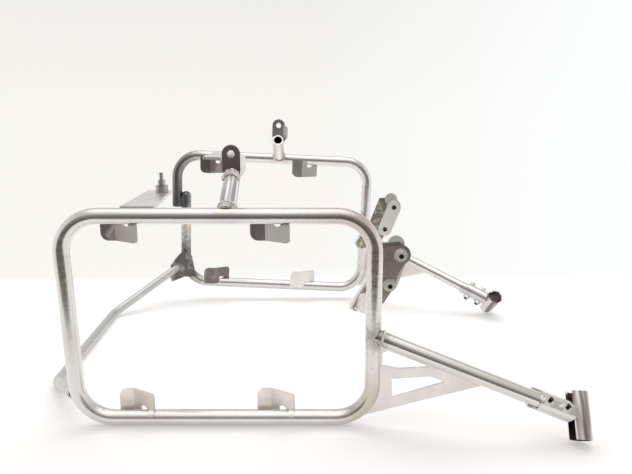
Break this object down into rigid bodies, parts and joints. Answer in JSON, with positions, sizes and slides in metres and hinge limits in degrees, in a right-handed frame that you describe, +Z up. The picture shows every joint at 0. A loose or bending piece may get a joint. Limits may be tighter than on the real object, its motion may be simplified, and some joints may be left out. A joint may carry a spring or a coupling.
{
  "type": "pannier frame",
  "caption": "Motorbike pannier frame: two round-cornered tube hoops with hook tabs, joined by a bent rear brace, with upper ears, rear arms, front brackets and strutted lower sockets.",
  "frame": {"origin": "on the floor, below the middle of the whole frame's bounding box, with the frame lying as it rests off the bike", "axes": "+X to the front of the bike, +Y from the right hoop to the left hoop, +Z up"},
  "size_m": [0.6782, 0.5434, 0.3378],
  "materials": {
    "tube_steel": "polished tube with fine brushing along its length",
    "matte_plate": "pressed plate, satin, a little warm",
    "dark_plate": "plate darkened by welding",
    "bracket_plate": "pressed plate, satin, darker near the welds",
    "clamp_plate": "bead-blasted plate",
    "fastener_steel": "plated bolts, nuts and washers"
  },
  "bodies": {
    "root": {"right_hoop": "tube_steel", "left_hoop": "tube_steel", "right_top_rear_hook": "matte_plate", "right_top_front_hook": "matte_plate", "right_low_rear_hook": "matte_plate", "right_low_front_hook": "matte_plate", "left_top_rear_hook": "matte_plate", "left_top_front_hook": "matte_plate", "left_low_rear_hook": "matte_plate", "left_low_front_hook": "matte_plate", "right_stub": "tube_steel", "left_stub": "tube_steel", "right_ear": "matte_plate", "left_ear": "matte_plate", "right_rear_arm": "matte_plate", "left_rear_arm": "matte_plate", "arm_bush": "fastener_steel", "arm_stud": "fastener_steel", "arm_nut": "fastener_steel", "right_bracket": "bracket_plate", "left_bracket": "bracket_plate", "right_outer_clamp_plate": "clamp_plate", "left_outer_clamp_plate": "clamp_plate", "right_inner_clamp_plate": "clamp_plate", "left_inner_clamp_plate": "clamp_plate", "right_clamp_bolts": "fastener_steel", "left_clamp_bolts": "fastener_steel", "right_clamp_washers": "fastener_steel", "left_clamp_washers": "fastener_steel", "right_strut": "tube_steel", "left_strut": "tube_steel", "right_strut_gusset": "matte_plate", "left_strut_gusset": "matte_plate", "right_socket": "tube_steel", "left_socket": "tube_steel", "right_cradle": "tube_steel", "left_cradle": "tube_steel", "right_strut_cap": "tube_steel", "left_strut_cap": "tube_steel", "right_strut_bolts": "fastener_steel", "left_strut_bolts": "fastener_steel", "right_strut_nuts": "fastener_steel", "left_strut_nuts": "fastener_steel", "rear_brace": "tube_steel", "brace_plate": "dark_plate"}
  },
  "joints": []
}
